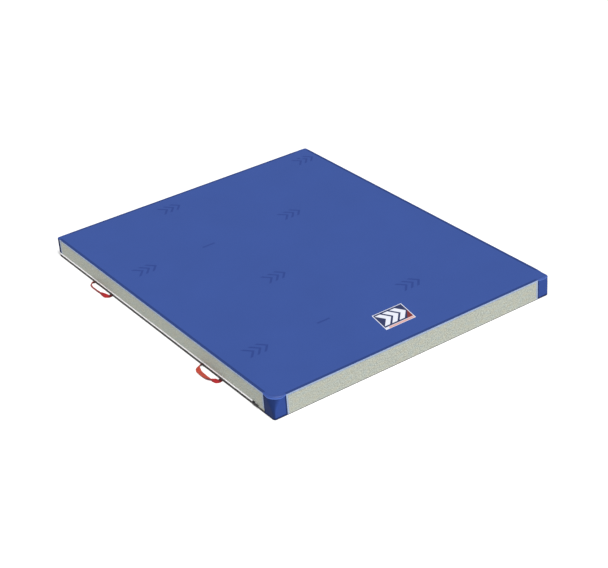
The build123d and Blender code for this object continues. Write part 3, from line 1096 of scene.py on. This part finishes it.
def webbing_profile():
    """(across, thick) points round a band with soft edges."""
    half, r = WEBBING / 2, WEBBING_THICK / 2
    flats = [half - r, half * 0.5, 0.0, -half * 0.5, -half + r]
    points = [(a, r) for a in flats]
    points += [(-half + r + r * math.cos(t), r * math.sin(t)) for t in np.radians((135, 180, 225))]
    points += [(a, -r) for a in reversed(flats)]
    points += [(half - r + r * math.cos(t), r * math.sin(t)) for t in np.radians((-45, 0, 45))]
    return points


def paint_band(piece, along, profile):
    """A UV map in metres: distance from the nearer end, and across, a metre further on the underside."""
    mesh = piece.data
    layer = mesh.uv_layers.new(name="UVMap")
    around = len(profile)
    for polygon in mesh.polygons:
        under = all(profile[vertex % around][1] < 0 for vertex in polygon.vertices)
        for corner in polygon.loop_indices:
            vertex = mesh.loops[corner].vertex_index
            from_start = along[vertex // around]
            from_end = min(from_start, along[-1] - from_start)
            layer.data[corner].uv = (from_end, profile[vertex % around][0] + under)


def make_anchor(node):
    """Two black patches with boxed cross stitching, which hold a loop's ends."""
    low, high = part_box(node)
    sign = -1 if high.x < 0 else 1
    face = sign * HALF_X
    length = 34 * MM
    parts, threads = Parts(), Parts()
    for y0 in (low.y, high.y - length):
        middle = y0 + length / 2
        profile = rounded_bar(high.z - low.z, 0.0, 1.2 * MM, 0.5 * MM)
        rows = []
        for y, shrink in ((y0, 0.8), (y0 + 1.2 * MM, 1.0), (y0 + length - 1.2 * MM, 1.0), (y0 + length, 0.8)):
            rows.extend(
                (face + sign * out * shrink, y, (low.z + high.z) / 2 + a * shrink) for a, out in profile
            )
        faces = tube_faces(4, len(profile))
        parts.add(rows, faces if sign < 0 else [tuple(reversed(f)) for f in faces])
        box_stitches(threads, middle, (low.z + high.z) / 2, face + sign * 1.15 * MM, sign)
    piece = parts.piece(node.replace("handle_anchor", "loop_anchor"), BLACK_WEBBING, "black_webbing")
    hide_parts(node)
    threads.piece(node.replace("handle_anchor", "anchor_stitches"), THREAD_BLACK, "black_webbing")


def box_stitches(threads, y, z, x, sign):
    """Stitches round a box and across its diagonals."""
    half_y, half_z = 12 * MM, 3.2 * MM
    p, q, r, t = box_corners(-half_y, -half_z, half_y, half_z)
    for (a_y, a_z), (b_y, b_z) in ((p, q), (q, r), (r, t), (t, p), (p, r), (q, t)):
        length = math.hypot(b_y - a_y, b_z - a_z)
        count = max(2, round(length / (3 * MM)))
        for i in range(count):
            low, high = (i + 0.1) / count, (i + 0.9) / count
            a = (x, y + a_y + (b_y - a_y) * low, z + a_z + (b_z - a_z) * low)
            b = (x, y + a_y + (b_y - a_y) * high, z + a_z + (b_z - a_z) * high)
            stitch(threads, a, b, (sign, 0, 0), 0.6 * MM, 0.35 * MM)


# ---- Prints on the top ----

def flat_print(parts, corners, lift, thick=0.15 * MM):
    """A thin printed polygon that follows the top, from (x, y) corners counter-clockwise."""
    base = [(x, y, top_height(x, y) + lift - thick) for x, y in corners]
    face = [(x, y, top_height(x, y) + lift) for x, y in corners]
    count = len(corners)
    faces = [tuple(range(count, 2 * count)), tuple(reversed(range(count)))]
    faces += [(i, (i + 1) % count, count + (i + 1) % count, count + i) for i in range(count)]
    parts.add(base + face, faces)


def chevron(centre_x, centre_y, width, height, bar):
    """The six corners of an arrow-shaped bar that points along +X."""
    left, right = centre_x - width / 2, centre_x + width / 2
    low, high = centre_y - height / 2, centre_y + height / 2
    return [(left, low), (left + bar, low), (right, centre_y),
            (left + bar, high), (left, high), (right - bar, centre_y)]


def convex_halves(corners):
    """A chevron as two convex quads."""
    a, b, tip, c, d, notch = corners
    return [[a, b, tip, notch], [notch, tip, c, d]]


BADGE_LEAN = 25 * MM          # how far the badge's back edge is shifted to the right of its front edge


def leaning(corners, low, high):
    """Corners given in the badge's own upright frame, moved to the leaning badge on the top."""
    middle = (low.y + high.y) / 2
    start = low.x + BADGE_LEAN / 2
    return [(start + x + BADGE_LEAN * (low.y + y - middle) / (high.y - low.y), low.y + y) for x, y in corners]


def box_corners(x0, y0, x1, y1):
    """The corners of an upright box, counter-clockwise."""
    return [(x0, y0), (x1, y0), (x1, y1), (x0, y1)]


def make_badge():
    """A plain badge in place of the maker's: chevrons on navy in a white frame, with a striped foot."""
    low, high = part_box("top_badge")
    wide, deep = high.x - low.x - BADGE_LEAN, high.y - low.y
    lift, layer = 0.25 * MM, 0.1 * MM
    rim, foot = 4 * MM, 18 * MM
    white, navy, red, pink = Parts(), Parts(), Parts(), Parts()
    flat_print(white, leaning(box_corners(0, 0, wide, deep), low, high), lift, 0.3 * MM)
    field = box_corners(rim, foot, wide - rim, deep - rim)
    flat_print(navy, leaning(field, low, high), lift + layer)
    middle = (foot + deep - rim) / 2
    for i in range(3):
        arrow = chevron(42 * MM + i * 43 * MM, middle, 66 * MM, 98 * MM, 30 * MM)
        for quad in convex_halves(arrow):
            flat_print(white, leaning(quad, low, high), lift + 2 * layer)
    corner = [(wide - rim - 34 * MM, foot), (wide - rim, foot), (wide - rim, foot + 62 * MM)]
    flat_print(red, leaning(corner, low, high), lift + 3 * layer)
    stripe = box_corners(22 * MM, 2.5 * MM, wide - rim, foot - 3 * MM)
    flat_print(pink, leaning(stripe, low, high), lift + layer)
    names = [("badge_frame", white, BADGE_WHITE), ("badge_field", navy, BADGE_NAVY),
             ("badge_corner", red, BADGE_RED), ("badge_stripe", pink, BADGE_PINK)]
    for name, parts, material in names:
        piece = parts.piece(name, material, "badge", smooth_angle=10.0)
        if name == "badge_frame":
            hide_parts("top_badge")


def make_faint_prints():
    """Tone-on-tone prints in staggered rows: the badge's chevrons, with a short dash between some."""
    parts = Parts()
    first_x, first_y = -0.623, -0.617
    step_x, step_y = 0.441, 0.497
    lift, thick = 0.06 * MM, 0.1 * MM
    for row in range(4):
        y = first_y + row * step_y
        for column in range(4):
            x = first_x + column * step_x
            if (row + column) % 2 == 0 and (row, column) != (1, 3):
                for k in (-1, 0, 1):
                    arrow = chevron(x + k * 38 * MM, y, 50 * MM, 82 * MM, 15 * MM)
                    for quad in convex_halves(arrow):
                        flat_print(parts, quad, lift, thick)
            elif column == 1 and row % 2 == 0:
                half_x, half_y = 36 * MM, 5.5 * MM
                dash_x = x - 0.07
                dash = box_corners(dash_x - half_x, y - half_y, dash_x + half_x, y + half_y)
                flat_print(parts, dash, lift, thick)
    parts.piece("faint_prints", PRINT_BLUE, "blue_vinyl", smooth_angle=10.0)


# ---- Stage ----

def make_floor():
    """A wide pale floor, just under the mat."""
    mesh = bpy.data.meshes.new("floor")
    corners = box_corners(-FLOOR_REACH, -FLOOR_REACH, FLOOR_REACH, FLOOR_REACH)
    mesh.from_pydata([(x, y, 0) for x, y in corners], [], [(0, 1, 2, 3)])
    floor = bpy.data.objects.new("floor", mesh)
    bpy.context.scene.collection.objects.link(floor)
    floor.location.z = -0.3 * MM
    material, tree, bsdf = shader("pale_floor", 0.9, Specular_IOR_Level=0.1)
    cloud = noise_of(tree, place(tree), 3.0, 2.0)
    painted(tree, bsdf, ramp(tree, cloud, (0.3, 0.90), (0.7, 0.92)))
    mesh.materials.append(material)


def add_lamp(name, azimuth, elevation, spread, strength):
    """A distant soft light; azimuth is measured from -Y towards +X, and spread is its apparent width."""
    light = bpy.data.lights.new(name, "SUN")
    light.angle = math.radians(spread)
    light.energy = strength
    lamp = bpy.data.objects.new(name, light)
    a, e = math.radians(azimuth), math.radians(elevation)
    towards = Vector((math.sin(a) * math.cos(e), -math.cos(a) * math.cos(e), math.sin(e)))
    lamp.location = towards * 6.0
    lamp.rotation_euler = towards.to_track_quat("Z", "Y").to_euler()
    bpy.context.scene.collection.objects.link(lamp)


def make_lights():
    world = bpy.data.worlds.new("studio")
    world.use_nodes = True
    background = next(n for n in world.node_tree.nodes if n.type == "BACKGROUND")
    background.inputs["Color"].default_value = (1.0, 1.0, 1.0, 1.0)
    background.inputs["Strength"].default_value = WORLD_LIGHT
    bpy.context.scene.world = world
    add_lamp("key", *KEY_FROM, KEY_SPREAD, KEY_LIGHT)
    bpy.context.scene.view_settings.view_transform = "Standard"


def make_camera():
    data = bpy.data.cameras.new("camera")
    data.lens = CAMERA_LENS
    data.sensor_width = 36.0
    data.clip_end = 200.0
    camera = bpy.data.objects.new("camera", data)
    a, e, r = (math.radians(v) for v in (CAMERA_AZIMUTH, CAMERA_ELEVATION, CAMERA_ROLL))
    ahead = Vector((math.sin(a) * math.cos(e), math.cos(a) * math.cos(e), -math.sin(e)))
    level = ahead.cross(Vector((0, 0, 1))).normalized()
    upright = level.cross(ahead)
    right = level * math.cos(r) + upright * math.sin(r)
    up = right.cross(ahead)
    spot = Vector(CAMERA_TARGET) - ahead * CAMERA_DISTANCE
    rows = [(right[i], up[i], -ahead[i], spot[i]) for i in range(3)]
    camera.matrix_world = Matrix(rows + [(0, 0, 0, 1)])
    bpy.context.scene.collection.objects.link(camera)
    bpy.context.scene.camera = camera


# ---- Assembly ----

make_foam("foam_block", "foam_core", SOFT_FOAM, "soft_foam")
make_foam("foam_top", "foam_top_layer", FIRM_FOAM, "firm_foam")
make_top()
make_hem()
make_base()
for side_name in SIDES:
    make_panel(side_name)
    make_binding(side_name)
for end_name in ("front", "back"):
    for side_name in ("left", "right"):
        make_corner(end_name, side_name)
        make_loop(f"handle_{side_name}_{end_name}")
        make_anchor(f"handle_anchor_{side_name}_{end_name}")
make_tape("zip_tape_top", "zip_tape_upper", 1)
make_tape("zip_tape_bottom", "zip_tape_lower", -1)
make_teeth("zip_teeth_top", "zip_coil_upper", 1)
make_teeth("zip_teeth_bottom", "zip_coil_lower", -1)
make_zip_covers()
make_top_stitches()
make_wall_stitches()
make_badge()
make_faint_prints()
for node_name, finish in (("zip_slider", ZIP_METAL), ("zip_pull", ZIP_METAL), ("zip_stops", ZIP_COIL)):
    node_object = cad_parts[node_name]
    node_object.data.materials.clear()
    node_object.data.materials.append(finish)
make_floor()
make_lights()
make_camera()
